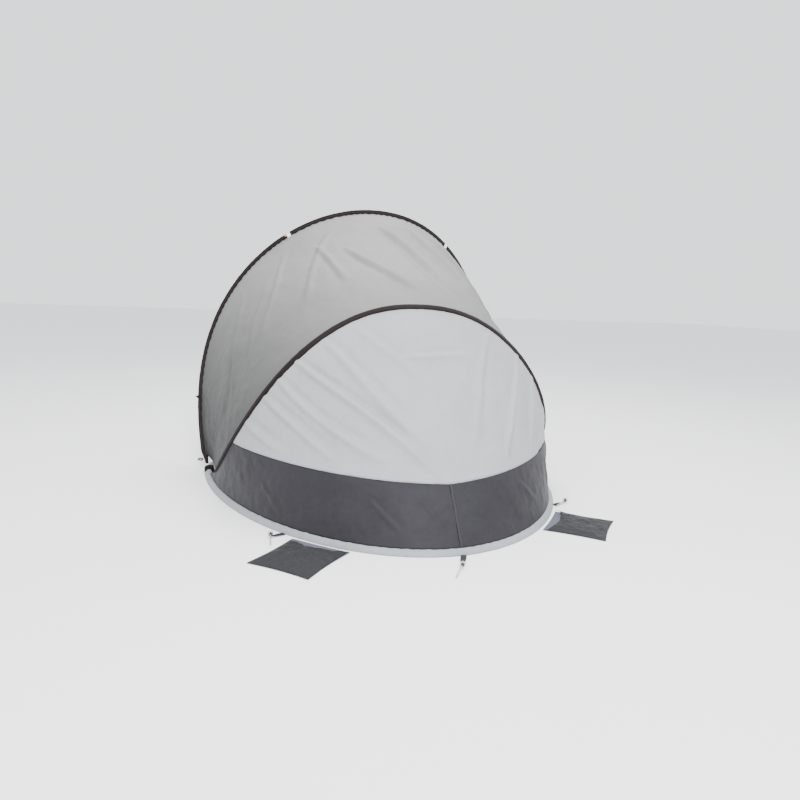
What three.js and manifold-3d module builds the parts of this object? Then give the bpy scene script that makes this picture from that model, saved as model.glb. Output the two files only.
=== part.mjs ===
// Pop-up beach shelter: two sprung hoops cross at the floor corners and hold a
// canopy, a rear wall and a groundsheet. Millimetres, +Z up. The origin is on
// the ground midway between the corners; the mouth faces -Y and the wall +Y.
import * as THREE from 'three';
import { mergeVertices } from 'three/addons/utils/BufferGeometryUtils.js';
import Module from 'manifold-3d';

// ---- driving dimensions ----
const HALF_WIDTH = 725;          // corner to centre line, along X
const FRONT_ARCH = { half: 725, height: 1137, centre: 241, power: 2.04, lean: -1.1, bow: -301, y: 17 };
const REAR_ARCH = { half: 695, height: 970, centre: 61, power: 2.26, lean: 40.1, bow: 198, y: 0 };
const REAR_FLOOR = { depth: 1094, power: 1.924 };
const FRONT_FLOOR = { depth: 420, power: 2 };
const HEM_HEIGHT = 19;           // lower edge of the rear wall
const SEAM_HEIGHT = 188;         // top of the dark band at the centre
const SEAM_RISE = 60;            // extra height of that seam towards the sides
const CLOTH = 1.6;               // thickness of a sewn panel
const GAP = 0.3;                 // clearance between neighbouring pieces
const EDGE = 12.5;               // panel edge to hoop centre line
const ROD_RADIUS = 2;
const SLEEVE = { width: 20, height: 9, wall: 0.8 };
const FLOOR_SLEEVE_OUTLINE = [
  [-18.5, 0], [11, 0], [12, 3], [11, 12], [3, 17.5], [-3, 17.5], [-12, 11], [-18.5, 3],
];
const FLOOR_SLEEVE_CORE = [-2, 7.5];   // where the floor rod lies in its sleeve
const FLOOR_SLEEVE_HOLLOW = 0.8;       // hollow outline, as a share of the outer one
const SHEET_THICKNESS = 1.2;
const SHEET_INSET = 13;
const CORNER_RADIUS = 24;
const CORNER_WIDTH = [-24, 18];        // inward and outward of the corner
const FRONT_START = 42;                // first radius of the front hoop from the corner axis
const REAR_START = 76;
const BOOT_START = 27;
const STRAP_PLACE = 0.3625;            // share of the way round the front hoop
const STRAP_GAP = 11;                  // half the opening in the sleeve at a strap
const TIE_TAB_PLACE = 0.0875;
const SIDE_LOOP_PLACE = 0.0145;
const FERRULE = { inner: 2.5, outer: 2.95, frontStep: 40, rearStep: 15 };
const REAR_STEPS = 48;
const FRONT_STEPS = 54;
const PEG = { radius: 2, length: 78, headRadius: 9, headThickness: 3, headHeight: 12.5, tipHeight: 2.4 };
const LOOP = { width: 18, thickness: 2, plateHeight: 18, hole: 4.5, standoff: 5, stand: 9 };
const POCKET = { width: 216, length: 214, height: 15, ply: 1.4, mouth: 36, stand: 6, turn: 2 };

// Each peg: where its head lies, the way its tip points and where its loop is sewn on.
const PEG_PLACES = {
  left: { head: [545, 818], angle: 84, share: 0.262 },
  centre: { head: [37, 1192], angle: 52, share: 0.5 },
  right: { head: [-592, 748], angle: 28, share: 0.755 },
};
const POCKET_SHARES = { left: 0.316, right: 0.694 };

const COLOURS = {
  darkSleeve: 0x584e50, canopy: 0xc3c4c1, panel: 0xd0d3d5, band: 0x605f65, skirt: 0xc4cad0,
  sheet: 0x8f949a, webbing: 0x4f5258, pocket: 0x66666b, strap: 0xf0f0ee, cord: 0xc4a868,
  steel: 0xa8a69e, rod: 0x2a2a2c, ferrule: 0x9b9ea2, corner: 0x2e2528,
};

const shelter = new THREE.Group();
const UP = new THREE.Vector3(0, 0, 1);
const manifold = await Module();
manifold.setup();

function addPiece(name, geometry, colour, metalness = 0, roughness = 0.85) {
  const material = new THREE.MeshStandardMaterial({ color: colour, metalness, roughness });
  const mesh = new THREE.Mesh(geometry, material);
  mesh.name = name;
  shelter.add(mesh);
  return mesh;
}

// ---- curves of the hoops ----
// A superellipse arch through (+-half, 0): share 0 is the +X foot, share 1 the -X foot.
function archPoint(share, half, height, centre, power) {
  const rise = height - centre;
  const reach = half / (1 - (centre / rise) ** power) ** (1 / power);
  const dip = Math.asin((centre / rise) ** (power / 2));
  const turn = -dip + share * (Math.PI + 2 * dip);
  const shape = (value) => Math.sign(value) * Math.abs(value) ** (2 / power);
  return [reach * shape(Math.cos(turn)), Math.max(0, centre + rise * shape(Math.sin(turn)))];
}

// A hoop leans about the corner axis and bows out of its plane at mid height.
function hoopPoint(hoop, share) {
  const [x, along] = archPoint(share, hoop.half, hoop.height, hoop.centre, hoop.power);
  const lean = THREE.MathUtils.degToRad(hoop.lean);
  const level = along / hoop.height;
  const bow = 4 * hoop.bow * level * (1 - level);
  const y = along * Math.sin(lean) + bow * Math.cos(lean) + hoop.y;
  return new THREE.Vector3(x, y, along * Math.cos(lean) - bow * Math.sin(lean));
}

const frontPoint = (share) => hoopPoint(FRONT_ARCH, share);
const rearPoint = (share) => hoopPoint(REAR_ARCH, share);

function hemPoint(share, height = 0) {
  const [x, y] = archPoint(share, HALF_WIDTH, REAR_FLOOR.depth, 0, REAR_FLOOR.power);
  return new THREE.Vector3(x, y, height);
}

function frontFloorPoint(share) {
  const [x, y] = archPoint(share, HALF_WIDTH, FRONT_FLOOR.depth, 0, FRONT_FLOOR.power);
  return new THREE.Vector3(-x, -y, 0);
}

// First share whose point is at least this far from the corner axis (the X axis).
function shareAtRadius(point, radius) {
  const step = 0.0005;
  let share = 0;
  while (Math.hypot(point(share).y, point(share).z) < radius) share += step;
  return share;
}

// A stretch of a hoop, with the wide side of its section along a chosen direction.
class HoopStretch extends THREE.Curve {
  constructor(point, wide, start, end) {
    super();
    Object.assign(this, { point, wide, start, end, arcLengthDivisions: 800 });
  }

  getPoint(t) {
    return this.point(THREE.MathUtils.lerp(this.start, this.end, t));
  }

  computeFrenetFrames(steps) {
    const frames = { tangents: [], normals: [], binormals: [] };
    for (let i = 0; i <= steps; i += 1) {
      const t = this.getUtoTmapping(i / steps);
      const tangent = this.getTangent(t).normalize();
      const binormal = this.wide(THREE.MathUtils.lerp(this.start, this.end, t)).clone();
      binormal.addScaledVector(tangent, -binormal.dot(tangent)).normalize();
      frames.tangents.push(tangent);
      frames.binormals.push(binormal);
      frames.normals.push(new THREE.Vector3().crossVectors(binormal, tangent));
    }
    return frames;
  }
}

const direction = (from, to) => to.clone().sub(from).normalize();

function frontWide(share) {
  return direction(frontPoint(share), rearPoint(share));
}

// Away from the shelter, square to the front hoop and to the canopy.
function frontOutward(share) {
  const tangent = direction(frontPoint(share - 1e-3), frontPoint(share + 1e-3));
  return frontWide(share).cross(tangent).normalize();
}

// Flat beside the floor near a corner, then in line with the canopy and the wall.
function rearWide(share) {
  const rear = rearPoint(share);
  const across = direction(rear, frontPoint(share)).sub(direction(rear, hemPoint(share, HEM_HEIGHT)));
  const turn = THREE.MathUtils.smoothstep(Math.min(share, 1 - share), 0.015, 0.08);
  const flat = new THREE.Vector3(share < 0.5 ? -1 : 1, 0, 0);
  return flat.lerp(across.normalize(), turn);
}

const upwards = () => UP;

// ---- sections ----
function ovalShape(width, height, sides = 8) {
  const points = [];
  for (let i = 0; i < sides; i += 1) {
    const turn = ((i + 0.5) / sides) * 2 * Math.PI;
    const stretch = 1 / Math.cos(Math.PI / sides);
    points.push(new THREE.Vector2((height / 2) * Math.cos(turn) * stretch, (width / 2) * Math.sin(turn)));
  }
  return points;
}

function tubeShape(width, height, wall) {
  const shape = new THREE.Shape(ovalShape(width, height));
  shape.holes.push(new THREE.Path(ovalShape(width - 2 * wall, height - 2 * wall)));
  return shape;
}

function floorSleeveShape() {
  const [coreX, coreY] = FLOOR_SLEEVE_CORE;
  const outline = FLOOR_SLEEVE_OUTLINE.map(([x, y]) => new THREE.Vector2(x, y));
  const hollow = FLOOR_SLEEVE_OUTLINE.map(([x, y]) => new THREE.Vector2(
    coreX + (x - coreX) * FLOOR_SLEEVE_HOLLOW,
    coreY + (y - coreY) * FLOOR_SLEEVE_HOLLOW,
  ));
  const shape = new THREE.Shape(outline);
  shape.holes.push(new THREE.Path(hollow));
  return shape;
}

function roundShape(radius, x = 0, y = 0, sides = 6) {
  const points = [];
  for (let i = 0; i < sides; i += 1) {
    const turn = (i / sides) * 2 * Math.PI;
    points.push(new THREE.Vector2(x + radius * Math.cos(turn), y + radius * Math.sin(turn)));
  }
  return new THREE.Shape(points);
}

function sweep(shape, point, wide, start, end, steps) {
  const extrudePath = new HoopStretch(point, wide, start, end);
  return new THREE.ExtrudeGeometry(shape, { steps, extrudePath, bevelEnabled: false });
}

// ---- closed cloth panels ----
// point(u, v) is the mid surface; the panel lies between two offsets along its normal.
function panel(point, stepsU, stepsV, near = -CLOTH / 2, far = CLOTH / 2) {
  const positions = [];
  const indices = [];
  const small = 1e-3;
  const rowLength = stepsV + 1;
  const layerSize = (stepsU + 1) * rowLength;
  for (const offset of [near, far]) {
    for (let i = 0; i <= stepsU; i += 1) {
      for (let j = 0; j <= stepsV; j += 1) {
        const u = i / stepsU;
        const v = j / stepsV;
        const place = point(u, v);
        const alongU = point(Math.min(1, u + small), v).sub(point(Math.max(0, u - small), v));
        const alongV = point(u, Math.min(1, v + small)).sub(point(u, Math.max(0, v - small)));
        place.addScaledVector(alongU.cross(alongV).normalize(), offset);
        positions.push(place.x, place.y, place.z);
      }
    }
  }
  const index = (layer, i, j) => layer * layerSize + i * rowLength + j;
  const quad = (a, b, c, d) => indices.push(a, b, c, a, c, d);
  for (let i = 0; i < stepsU; i += 1) {
    for (let j = 0; j < stepsV; j += 1) {
      quad(index(0, i, j), index(0, i, j + 1), index(0, i + 1, j + 1), index(0, i + 1, j));
      quad(index(1, i, j), index(1, i + 1, j), index(1, i + 1, j + 1), index(1, i, j + 1));
    }
    quad(index(0, i, 0), index(0, i + 1, 0), index(1, i + 1, 0), index(1, i, 0));
    quad(index(0, i + 1, stepsV), index(0, i, stepsV), index(1, i, stepsV), index(1, i + 1, stepsV));
  }
  for (let j = 0; j < stepsV; j += 1) {
    quad(index(0, 0, j + 1), index(0, 0, j), index(1, 0, j), index(1, 0, j + 1));
    quad(index(0, stepsU, j), index(0, stepsU, j + 1), index(1, stepsU, j + 1), index(1, stepsU, j));
  }
  const geometry = new THREE.BufferGeometry();
  geometry.setAttribute('position', new THREE.Float32BufferAttribute(positions, 3));
  geometry.setIndex(indices);
  return geometry;
}

// A ruled panel between two edges, kept clear of them by a margin in millimetres.
function ruledPanel(lower, upper, shares, levels, stepsU, stepsV, near, far) {
  const point = (u, v) => {
    const share = THREE.MathUtils.lerp(shares[0], shares[1], u);
    const from = lower(share);
    const to = upper(share);
    const [low, high] = levels(share, from, to);
    return from.lerp(to, THREE.MathUtils.lerp(low, high, v));
  };
  return panel(point, stepsU, stepsV, near, far);
}

// ---- cut solids ----
function toSolid(geometry) {
  const bare = (geometry.index ? geometry.toNonIndexed() : geometry).clone();
  bare.deleteAttribute('normal');
  bare.deleteAttribute('uv');
  const merged = mergeVertices(bare, 1e-4);
  return new manifold.Manifold(new manifold.Mesh({
    numProp: 3,
    vertProperties: new Float32Array(merged.attributes.position.array),
    triVerts: new Uint32Array(merged.index.array),
  }));
}

function fromSolid(solid) {
  const mesh = solid.getMesh();
  const geometry = new THREE.BufferGeometry();
  geometry.setAttribute('position', new THREE.Float32BufferAttribute(mesh.vertProperties, 3));
  geometry.setIndex(Array.from(mesh.triVerts));
  return geometry;
}

function box(sizeX, sizeY, sizeZ, x, y, z) {
  return new THREE.BoxGeometry(sizeX, sizeY, sizeZ).translate(x, y, z);
}

// ---- floor ----
const floorStart = shareAtRadius((share) => hemPoint(share), CORNER_RADIUS + 2);
const frontFloorStart = shareAtRadius(frontFloorPoint, CORNER_RADIUS + 2);

function addFloorHalf(name, point, start) {
  const sleeve = sweep(floorSleeveShape(), point, upwards, start, 1 - start, 44);
  addPiece(`${name}_floor_sleeve`, sleeve, COLOURS.skirt);
  const rod = sweep(roundShape(ROD_RADIUS, ...FLOOR_SLEEVE_CORE), point, upwards, start, 1 - start, 44);
  addPiece(`${name}_floor_rod`, rod, COLOURS.rod, 0.1, 0.5);
}

// The sheet's outline runs round both halves of the floor, inside the sleeves.
function addGroundsheet() {
  const outline = [];
  const steps = 36;
  const corner = HALF_WIDTH + CORNER_WIDTH[0] - GAP;
  for (const point of [hemPoint, frontFloorPoint]) {
    const curve = new HoopStretch((share) => point(share), upwards, 0.004, 0.996);
    for (let i = 0; i <= steps; i += 1) {
      const place = curve.getPointAt(i / steps);
      const inward = new THREE.Vector3().crossVectors(UP, curve.getTangentAt(i / steps));
      place.addScaledVector(inward, SHEET_INSET);
      outline.push(new THREE.Vector2(THREE.MathUtils.clamp(place.x, -corner, corner), place.y));
    }
  }
  const options = { depth: SHEET_THICKNESS, bevelEnabled: false };
  const sheet = new THREE.ExtrudeGeometry(new THREE.Shape(outline), options);
  addPiece('groundsheet', sheet, COLOURS.sheet);
}

// Half-round patch where the two hoops are sewn together.
function addCorner(name, side) {
  const [inner, outer] = CORNER_WIDTH;
  const outline = new THREE.Shape();
  outline.absarc(0, 0, CORNER_RADIUS, 0, Math.PI, false);
  const patch = new THREE.ExtrudeGeometry(outline, {
    depth: outer - inner,
    curveSegments: 10,
    bevelEnabled: false,
  });
  patch.rotateX(Math.PI / 2).rotateZ(Math.PI / 2);
  patch.translate(side > 0 ? HALF_WIDTH + inner : -HALF_WIDTH - outer, 0, 0);
  addPiece(`corner_patch_${name}`, patch, COLOURS.corner);
}

// Short fixed sleeve that takes the rear hoop from the corner patch.
function addBoot(name, side) {
  const start = shareAtRadius(rearPoint, BOOT_START);
  const end = shareAtRadius(rearPoint, REAR_START - 3);
  const range = side > 0 ? [start, end] : [1 - end, 1 - start];
  const shape = tubeShape(SLEEVE.width - 2, SLEEVE.height - 1, SLEEVE.wall);
  addPiece(`corner_boot_${name}`, sweep(shape, rearPoint, rearWide, ...range, 3), COLOURS.corner);
}

// ---- hoops ----
const frontStart = shareAtRadius(frontPoint, FRONT_START);
const rearStart = shareAtRadius(rearPoint, REAR_START);
const frontLength = new HoopStretch(frontPoint, frontWide, 0, 1).getLength();
const strapShare = STRAP_GAP / frontLength;

// The spring rod, and the crimped tube that closes its ring over one step of the rod.
function addRod(name, point, wide, start, steps, ferruleStep) {
  const rod = sweep(roundShape(ROD_RADIUS), point, wide, start, 1 - start, steps);
  addPiece(`${name}_arch_rod`, rod, COLOURS.rod, 0.1, 0.5);
  const curve = new HoopStretch(point, wide, start, 1 - start);
  const shares = [ferruleStep, ferruleStep + 1].map((step) => (
    THREE.MathUtils.lerp(start, 1 - start, curve.getUtoTmapping(step / steps))
  ));
  const shape = roundShape(FERRULE.outer);
  shape.holes.push(new THREE.Path(roundShape(FERRULE.inner).getPoints()));
  addPiece(`${name}_ferrule`, sweep(shape, point, wide, ...shares, 1), COLOURS.ferrule, 0.9, 0.35);
}

function addRearHoop() {
  const shape = tubeShape(SLEEVE.width, SLEEVE.height, SLEEVE.wall);
  const sleeve = sweep(shape, rearPoint, rearWide, rearStart, 1 - rearStart, REAR_STEPS);
  addPiece('rear_arch_sleeve', sleeve, COLOURS.darkSleeve);
  addRod('rear', rearPoint, rearWide, rearStart, REAR_STEPS, FERRULE.rearStep);
}

function addFrontHoop() {
  const shape = tubeShape(SLEEVE.width, SLEEVE.height, SLEEVE.wall);
  const stretches = {
    left: [frontStart, STRAP_PLACE - strapShare, 20],
    top: [STRAP_PLACE + strapShare, 1 - STRAP_PLACE - strapShare, 14],
    right: [1 - STRAP_PLACE + strapShare, 1 - frontStart, 20],
  };
  for (const [name, [start, end, steps]] of Object.entries(stretches)) {
    const sleeve = sweep(shape, frontPoint, frontWide, start, end, steps);
    addPiece(`front_arch_sleeve_${name}`, sleeve, COLOURS.darkSleeve);
  }
  addRod('front', frontPoint, frontWide, frontStart, FRONT_STEPS, FERRULE.frontStep);
}

// White strap that ties the canopy to the bare rod in the gap of the sleeve.
function addStrap(name, share) {
  const half = (STRAP_GAP - 3) / frontLength;
  const shape = tubeShape(17, 8, 1.2);
  const strap = sweep(shape, frontPoint, frontWide, share - half, share + half, 1);
  addPiece(`strap_${name}`, strap, COLOURS.strap);
}

function addKnot(name, share) {
  const place = frontPoint(share - 1.1 * strapShare);
  place.addScaledVector(frontOutward(share), SLEEVE.height / 2 + 8);
  const knot = new THREE.SphereGeometry(6.5, 10, 8);
  addPiece(`cord_knot_${name}`, knot, COLOURS.cord).position.copy(place);
}

// Small triangular tie tab standing out from the front sleeve.
function addTieTab(name, share, side) {
  const place = frontPoint(share);
  const tangent = new HoopStretch(frontPoint, frontWide, 0, 1).getTangent(share);
  const outward = frontOutward(share);
  const tab = new THREE.Shape([
    new THREE.Vector2(0, -12), new THREE.Vector2(22, 4), new THREE.Vector2(0, 12),
  ]);
  const geometry = new THREE.ExtrudeGeometry(tab, { depth: 2, bevelEnabled: false });
  geometry.translate(SLEEVE.height / 2 + 1.2, 0, -1);
  const across = new THREE.Vector3().crossVectors(outward, tangent.multiplyScalar(side));
  geometry.applyMatrix4(new THREE.Matrix4().makeBasis(outward, tangent, across));
  addPiece(`tie_tab_${name}`, geometry, COLOURS.darkSleeve).position.copy(place);
}

// Loop of webbing low on the front sleeve, for a guy line or a peg.
function addSideLoop(name, share, side) {
  const place = frontPoint(share);
  const shape = tubeShape(24, 9, 1.4);
  const loop = new THREE.ExtrudeGeometry(shape, { depth: 16, bevelEnabled: false });
  loop.rotateZ(Math.PI / 2).rotateX(Math.PI / 2);
  loop.translate(side * (SLEEVE.width / 2 + 14), 0, 0);
  addPiece(`side_loop_${name}`, loop, COLOURS.webbing).position.copy(place);
}

// ---- cloth ----
// Share of a ruling that lies within the edge margin of a hoop, measured square to it.
function margin(point, share, from, to) {
  const small = 1e-3;
  const tangent = direction(point(share - small), point(share + small));
  const square = direction(from, to).cross(tangent).length();
  return EDGE / square / from.distanceTo(to);
}

function addCanopy() {
  const levels = (share, from, to) => [
    margin(frontPoint, share, from, to),
    1 - margin(rearPoint, share, from, to),
  ];
  addPiece('canopy', ruledPanel(frontPoint, rearPoint, [0.04, 0.96], levels, 48, 4), COLOURS.canopy);
}

const hemLine = (share) => hemPoint(share, HEM_HEIGHT);

// Level of the seam between the dark band and the pale panel on one ruling.
function seamLevel(share, from, to) {
  const height = SEAM_HEIGHT + SEAM_RISE * Math.abs(2 * share - 1);
  const top = 1 - margin(rearPoint, share, from, to);
  return Math.min(top, (height - HEM_HEIGHT) / Math.max(1, to.z - HEM_HEIGHT));
}

function addRearWall() {
  const bandLevels = (share, from, to) => [0, seamLevel(share, from, to)];
  const upperLevels = (share, from, to) => {
    const top = 1 - margin(rearPoint, share, from, to);
    return [seamLevel(share, from, to) + 2 * GAP / from.distanceTo(to), top];
  };
  const middle = 0.0001;
  const ends = 0.035;
  const left = ruledPanel(hemLine, rearPoint, [ends, 0.5 - middle], bandLevels, 26, 2);
  addPiece('rear_band_left', left, COLOURS.band);
  const right = ruledPanel(hemLine, rearPoint, [0.5 + middle, 1 - ends], bandLevels, 26, 2);
  addPiece('rear_band_right', right, COLOURS.band);
  const upper = ruledPanel(hemLine, rearPoint, [0.165, 0.835], upperLevels, 40, 3);
  addPiece('rear_panel', upper, COLOURS.panel);
  const tape = ruledPanel(hemLine, rearPoint, [0.4986, 0.5014], bandLevels, 1, 2, 1.1, 2);
  addPiece('band_seam_tape', tape, COLOURS.band);
}

// ---- pegs and their loops ----
// A place on the ground outside the floor sleeve, and the way out from it.
function floorEdge(share, stand) {
  const curve = new HoopStretch((value) => hemPoint(value), upwards, 0, 1);
  const outward = new THREE.Vector3().crossVectors(curve.getTangent(share), UP);
  const place = hemPoint(share).addScaledVector(outward, stand - FLOOR_SLEEVE_OUTLINE[0][0]);
  return { place, outward };
}

function addPeg(name, { head, angle, share }) {
  const turn = THREE.MathUtils.degToRad(angle);
  const run = new THREE.Vector3(Math.cos(turn), Math.sin(turn), 0);
  const drop = (PEG.headHeight - PEG.tipHeight) / PEG.length;
  const along = run.clone().multiplyScalar(Math.sqrt(1 - drop * drop));
  along.z = -drop;
  const start = new THREE.Vector3(head[0], head[1], PEG.headHeight);
  const aim = new THREE.Quaternion().setFromUnitVectors(UP, along);

  const cap = new THREE.CylinderGeometry(PEG.headRadius, PEG.headRadius, PEG.headThickness, 20);
  cap.rotateX(Math.PI / 2);
  const capMesh = addPiece(`peg_head_${name}`, cap, COLOURS.steel, 0.85, 0.35);
  capMesh.quaternion.copy(aim);
  capMesh.position.copy(start);

  const { radius, length } = PEG;
  const profile = [[0, 0], [radius, 0], [radius, length - 14], [0.5, length], [0, length]];
  const shaft = new THREE.LatheGeometry(profile.map(([x, y]) => new THREE.Vector2(x, y)), 10);
  shaft.rotateX(Math.PI / 2);
  const shaftMesh = addPiece(`peg_shaft_${name}`, shaft, COLOURS.steel, 0.85, 0.35);
  shaftMesh.quaternion.copy(aim);
  shaftMesh.position.copy(start).addScaledVector(along, PEG.headThickness / 2 + GAP);
  return { start, run, root: floorEdge(share, LOOP.stand).place };
}

// A flat run of webbing to the peg, turned up round the peg's neck.
function addPegLoop(name, { start, run, root }) {
  const plateCentre = start.clone().addScaledVector(run, LOOP.standoff + LOOP.thickness / 2);
  const turn = Math.atan2(run.y, run.x);
  const plateHeight = LOOP.plateHeight + 2;
  const plate = box(LOOP.thickness, LOOP.width, plateHeight, 0, 0, plateHeight / 2 + GAP);
  plate.rotateZ(turn).translate(plateCentre.x, plateCentre.y, 0);
  const foot = new THREE.Vector3(plateCentre.x - root.x, plateCentre.y - root.y, 0);
  const footTurn = Math.atan2(foot.y, foot.x);
  const reach = foot.length() + 1;
  const strap = box(reach, LOOP.width, LOOP.thickness, reach / 2, 0, LOOP.thickness / 2 + GAP);
  strap.rotateZ(footTurn).translate(root.x, root.y, 0);
  const hole = new THREE.CylinderGeometry(LOOP.hole, LOOP.hole, 12, 12);
  hole.rotateZ(Math.PI / 2).rotateZ(turn);
  hole.translate(plateCentre.x, plateCentre.y, PEG.headHeight - 0.8);
  const loop = toSolid(plate).add(toSolid(strap)).subtract(toSolid(hole));
  addPiece(`peg_loop_${name}`, fromSolid(loop), COLOURS.webbing);
}

// ---- sand pockets ----
// A flat bag, open in its top near the floor edge. Local +X runs away from the shelter.
function addPocket(name, share) {
  const { width, length, height, ply, mouth, stand, turn } = POCKET;
  const outer = toSolid(box(length, width, height, 0, 0, height / 2));
  const inner = toSolid(box(length - 2 * ply, width - 2 * ply, height - 2 * ply, 0, 0, height / 2));
  const opening = toSolid(box(mouth, width - 8 * ply, height, -length / 2 + stand + mouth / 2, 0, height));
  const { place, outward } = floorEdge(share, stand);
  const solid = outer.subtract(inner).subtract(opening);
  const bag = addPiece(`sand_pocket_${name}`, fromSolid(solid), COLOURS.pocket);
  bag.rotation.z = Math.atan2(outward.y, outward.x) + THREE.MathUtils.degToRad(turn);
  bag.position.copy(place).addScaledVector(outward, length / 2);
  bag.position.z = GAP;
}

addGroundsheet();
addFloorHalf('rear', (share) => hemPoint(share), floorStart);
addFloorHalf('front', frontFloorPoint, frontFloorStart);
for (const [name, side] of [['left', 1], ['right', -1]]) {
  addCorner(name, side);
  addBoot(name, side);
}
addRearHoop();
addFrontHoop();
addStrap('left', STRAP_PLACE);
addStrap('right', 1 - STRAP_PLACE);
addKnot('left', STRAP_PLACE);
addTieTab('left', TIE_TAB_PLACE, 1);
addTieTab('right', 1 - TIE_TAB_PLACE, -1);
addSideLoop('left', SIDE_LOOP_PLACE, 1);
addSideLoop('right', 1 - SIDE_LOOP_PLACE, -1);
addCanopy();
addRearWall();
for (const [name, place] of Object.entries(PEG_PLACES)) addPegLoop(name, addPeg(name, place));
for (const [name, share] of Object.entries(POCKET_SHARES)) addPocket(name, share);

export default shelter;
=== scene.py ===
"""Pop-up beach shelter: the cloth, tape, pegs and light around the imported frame."""
import math

import bmesh
import bpy
import numpy as np
from mathutils import Matrix, Vector, noise


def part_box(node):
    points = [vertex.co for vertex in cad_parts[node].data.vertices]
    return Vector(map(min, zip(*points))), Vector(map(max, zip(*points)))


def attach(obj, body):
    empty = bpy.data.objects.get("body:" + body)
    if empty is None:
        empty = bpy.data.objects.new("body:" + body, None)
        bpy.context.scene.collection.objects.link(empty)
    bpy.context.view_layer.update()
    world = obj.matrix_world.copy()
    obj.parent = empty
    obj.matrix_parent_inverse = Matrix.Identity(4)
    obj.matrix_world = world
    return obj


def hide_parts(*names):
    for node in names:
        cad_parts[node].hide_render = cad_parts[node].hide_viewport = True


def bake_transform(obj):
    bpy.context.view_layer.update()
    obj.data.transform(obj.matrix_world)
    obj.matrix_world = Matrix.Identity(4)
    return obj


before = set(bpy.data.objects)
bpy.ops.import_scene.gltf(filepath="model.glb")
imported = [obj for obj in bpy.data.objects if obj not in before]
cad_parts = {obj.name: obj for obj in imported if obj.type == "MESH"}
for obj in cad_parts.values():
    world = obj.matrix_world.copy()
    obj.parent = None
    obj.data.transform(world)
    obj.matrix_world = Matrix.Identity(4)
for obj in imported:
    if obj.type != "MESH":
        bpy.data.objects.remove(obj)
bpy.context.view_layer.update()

# ---- driving dimensions, in metres ----
HALF_WIDTH = 0.725
FRONT_ARCH = dict(half=0.725, height=1.137, centre=0.241, power=2.04, lean=-1.1, bow=-0.301, y=0.017)
REAR_ARCH = dict(half=0.695, height=0.970, centre=0.061, power=2.26, lean=40.1, bow=0.198, y=0.0)
REAR_DEPTH, REAR_POWER = 1.094, 1.924
FRONT_DEPTH, FRONT_POWER = 0.420, 2.0
HEM_HEIGHT = 0.0178
SEAM_HEIGHT, SEAM_RISE = 0.188, 0.060
SLEEVE_WIDTH, SLEEVE_HEIGHT = 0.0205, 0.0085
FRONT_SLEEVE_WIDTH, FRONT_SLEEVE_TURN = 0.0320, 65
STRAP_PLACE = 0.3625
STRAP_GAP = 0.0110
KNOT_OFFSET = 0.0040             # the knot sits on the rim of the broad sleeve
TUCK = 0.0040                    # how far the cloth stops short of a hoop's centre line
CLOTH_THICKNESS = 0.0008
SKIRT_EDGE = 0.0185              # floor edge, outwards from the hem
STEP = 1e-3                      # small change of share, for directions along a line
TOP_MARGIN = 0.002               # least share of a ruling between the seam and the rear sleeve

# ---- where pieces start, as distances from the line through the two corners ----
CANOPY_REAR_START, CANOPY_FRONT_START = 0.084, 0.086
FRONT_SLEEVE_START, REAR_SLEEVE_START = 0.036, 0.072
BOOT_START, BOOT_END = 0.018, 0.078
SKIRT_START = 0.024

# ---- where pieces sit, as shares along their line ----
REAR_PANEL_SPAN = (0.147, 0.853)
BAND_SPANS = {"left": (0.030, 0.4996), "right": (0.5004, 0.970)}
BAND_SEAM_SPAN = (0.4984, 0.5016)
PEG_PLACES = (("left", 0.262), ("centre", 0.5), ("right", 0.755))
POCKET_PLACES = (("left", 0.316), ("right", 0.694))

# ---- cloth detail ----
CANOPY_FOLD_STRENGTH, PANEL_FOLD_STRENGTH = 2.4, 2.3
NOISE_FALL, NOISE_STEP, NOISE_OCTAVES = 0.9, 2.1, 3
STITCH_HALF_WIDTH, STITCH_PITCH, STITCH_SHARE = 0.0006, 0.0042, 0.68
SLEEVE_SIDES, SLEEVE_SQUARENESS = 16, 0.75
TRIM_CUTS, TRIM_EDGE, TRIM_CRUMPLE, TRIM_GRAIN = 3, 0.005, 0.0008, 0.012
POCKET_WIDTH, POCKET_LENGTH = 0.214, 0.212
POCKET_STAND, POCKET_MOUTH = 0.006, 0.036
POCKET_FLOOR, POCKET_BASE, POCKET_BULGE, POCKET_LIMIT = 0.0010, 0.0022, 0.0085, 0.0160

# ---- camera and light ----
CAMERA_PLACE = (0.7286, 2.7182, 0.7584)
CAMERA_AZIMUTH, CAMERA_ELEVATION, CAMERA_ROLL = 20.255, 9.506, 2.228
CAMERA_LENS, CAMERA_SHIFT = 27.386, (-0.0347, 0.0056)


# ---- curves of the hoops ----
def arch(share, half, height, centre, power):
    """A superellipse arch through (+-half, 0); share 0 is the +X foot."""
    rise = height - centre
    reach = half / (1 - (centre / rise) ** power) ** (1 / power)
    dip = math.asin((centre / rise) ** (power / 2))
    turn = -dip + np.asarray(share, float) * (math.pi + 2 * dip)
    c, s = np.cos(turn), np.sin(turn)
    x = reach * np.sign(c) * np.abs(c) ** (2 / power)
    up = centre + rise * np.sign(s) * np.abs(s) ** (2 / power)
    return x, np.maximum(0, up)


def hoop(share, half, height, centre, power, lean, bow, y):
    """A hoop leans about the corner axis and bows out of its plane at mid height."""
    x, along = arch(share, half, height, centre, power)
    lean = math.radians(lean)
    level = along / height
    out = 4 * bow * level * (1 - level)
    depth = along * math.sin(lean) + out * math.cos(lean) + y
    return np.stack([x, depth, along * math.cos(lean) - out * math.sin(lean)], -1)


def front_line(share):
    return hoop(share, **FRONT_ARCH)


def rear_line(share):
    return hoop(share, **REAR_ARCH)


def hem_line(share, height=HEM_HEIGHT):
    x, y = arch(share, HALF_WIDTH, REAR_DEPTH, 0, REAR_POWER)
    return np.stack([x, y, np.full_like(x, height)], -1)


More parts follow.
